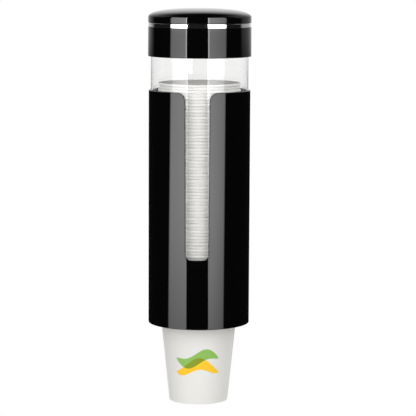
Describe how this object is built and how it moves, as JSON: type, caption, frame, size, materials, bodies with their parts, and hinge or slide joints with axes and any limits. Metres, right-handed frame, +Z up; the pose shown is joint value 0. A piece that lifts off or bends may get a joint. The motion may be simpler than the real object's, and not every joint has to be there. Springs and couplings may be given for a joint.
{
  "type": "wall-mounted paper cup dispenser",
  "caption": "Pull-type paper cup dispenser for a wall: clear tube in a slotted black sleeve, lift-off domed lid with a plated ring, rubber claws at the outlet and a stack of nested cups.",
  "frame": {"origin": "centre of the wall side of the adhesive pad on the wall bracket, where the dispenser meets the wall", "axes": "+Z up along the tube, +Y into the wall, the slotted front faces -Y"},
  "size_m": [0.0966, 0.1094, 0.3705],
  "materials": {
    "gloss_black": "gloss",
    "satin_black": "satin",
    "clear_plastic": "gloss",
    "plated_trim": "polished",
    "cup_paper": "matte",
    "printed_paper": "matte",
    "silicone": "matte",
    "screw_steel": "satin",
    "adhesive_foam": "matte"
  },
  "bodies": {
    "wall_mount": {"wall_bracket": "satin_black", "adhesive_pad": "adhesive_foam"},
    "housing": {"sleeve": "gloss_black", "hanger": "satin_black", "clear_tube": "clear_plastic", "claw_ring": "satin_black", "clamp_ring": "satin_black", "clamp_screw_1": "screw_steel", "clamp_screw_2": "screw_steel", "clamp_screw_3": "screw_steel", "clamp_screw_4": "screw_steel", "clamp_screw_5": "screw_steel", "clamp_screw_6": "screw_steel"},
    "lid": {"lid_cap": "gloss_black", "lid_trim_ring": "plated_trim", "lid_skirt": "gloss_black"},
    "cup_column": {"cup_2": "cup_paper", "cup_3": "cup_paper", "cup_4": "cup_paper", "cup_5": "cup_paper", "cup_6": "cup_paper", "cup_7": "cup_paper", "cup_8": "cup_paper", "cup_9": "cup_paper", "cup_10": "cup_paper", "cup_11": "cup_paper", "cup_12": "cup_paper", "cup_13": "cup_paper", "cup_14": "cup_paper", "cup_15": "cup_paper", "cup_16": "cup_paper", "cup_17": "cup_paper", "cup_18": "cup_paper", "cup_19": "cup_paper", "cup_20": "cup_paper", "cup_21": "cup_paper", "cup_22": "cup_paper", "cup_23": "cup_paper", "cup_24": "cup_paper", "cup_25": "cup_paper", "cup_26": "cup_paper", "cup_27": "cup_paper", "cup_28": "cup_paper", "cup_29": "cup_paper", "cup_30": "cup_paper", "cup_31": "cup_paper", "cup_32": "cup_paper", "cup_33": "cup_paper", "cup_34": "cup_paper", "cup_35": "cup_paper", "cup_36": "cup_paper", "cup_37": "cup_paper"},
    "bottom_cup": {"cup_1": "printed_paper"},
    "claw_1": {"claw_1": "silicone"},
    "claw_2": {"claw_2": "silicone"},
    "claw_3": {"claw_3": "silicone"},
    "claw_4": {"claw_4": "silicone"},
    "claw_5": {"claw_5": "silicone"},
    "claw_6": {"claw_6": "silicone"}
  },
  "joints": [
    {"name": "housing_lift", "type": "slide", "parent": "wall_mount", "child": "housing", "axis": [0, 0, 1], "range_m": [0, 0.055]},
    {"name": "lid_lift", "type": "slide", "parent": "housing", "child": "lid", "axis": [0, 0, 1], "range_m": [0, 0.06]},
    {"name": "column_feed", "type": "slide", "parent": "housing", "child": "cup_column", "axis": [0, 0, -1], "range_m": [0, 0.00586], "deforming": ["claw_1", "claw_2", "claw_3", "claw_4", "claw_5", "claw_6"]},
    {"name": "cup_pull", "type": "slide", "parent": "cup_column", "child": "bottom_cup", "axis": [0, 0, -1], "range_m": [0, 0.094]},
    {"name": "claw_1_flex", "type": "hinge", "parent": "housing", "child": "claw_1", "pos_m": [0, -0.1042, -0.1133], "axis": [-1, 0, 0], "range_deg": [0, 55], "stiffness_Nm_per_rad": 0.006},
    {"name": "claw_2_flex", "type": "hinge", "parent": "housing", "child": "claw_2", "pos_m": [0.03724, -0.0827, -0.1133], "axis": [-0.5, -0.866, 0], "range_deg": [0, 55], "stiffness_Nm_per_rad": 0.006},
    {"name": "claw_3_flex", "type": "hinge", "parent": "housing", "child": "claw_3", "pos_m": [0.03724, -0.0397, -0.1133], "axis": [0.5, -0.866, 0], "range_deg": [0, 55], "stiffness_Nm_per_rad": 0.006},
    {"name": "claw_4_flex", "type": "hinge", "parent": "housing", "child": "claw_4", "pos_m": [0, -0.0182, -0.1133], "axis": [1, 0, 0], "range_deg": [0, 55], "stiffness_Nm_per_rad": 0.006},
    {"name": "claw_5_flex", "type": "hinge", "parent": "housing", "child": "claw_5", "pos_m": [-0.03724, -0.0397, -0.1133], "axis": [0.5, 0.866, 0], "range_deg": [0, 55], "stiffness_Nm_per_rad": 0.006},
    {"name": "claw_6_flex", "type": "hinge", "parent": "housing", "child": "claw_6", "pos_m": [-0.03724, -0.0827, -0.1133], "axis": [-0.5, 0.866, 0], "range_deg": [0, 55], "stiffness_Nm_per_rad": 0.006}
  ],
  "couplings": [
    {"joint": "claw_2_flex", "follows": "claw_1_flex", "ratio": 1},
    {"joint": "claw_3_flex", "follows": "claw_1_flex", "ratio": 1},
    {"joint": "claw_4_flex", "follows": "claw_1_flex", "ratio": 1},
    {"joint": "claw_5_flex", "follows": "claw_1_flex", "ratio": 1},
    {"joint": "claw_6_flex", "follows": "claw_1_flex", "ratio": 1}
  ]
}
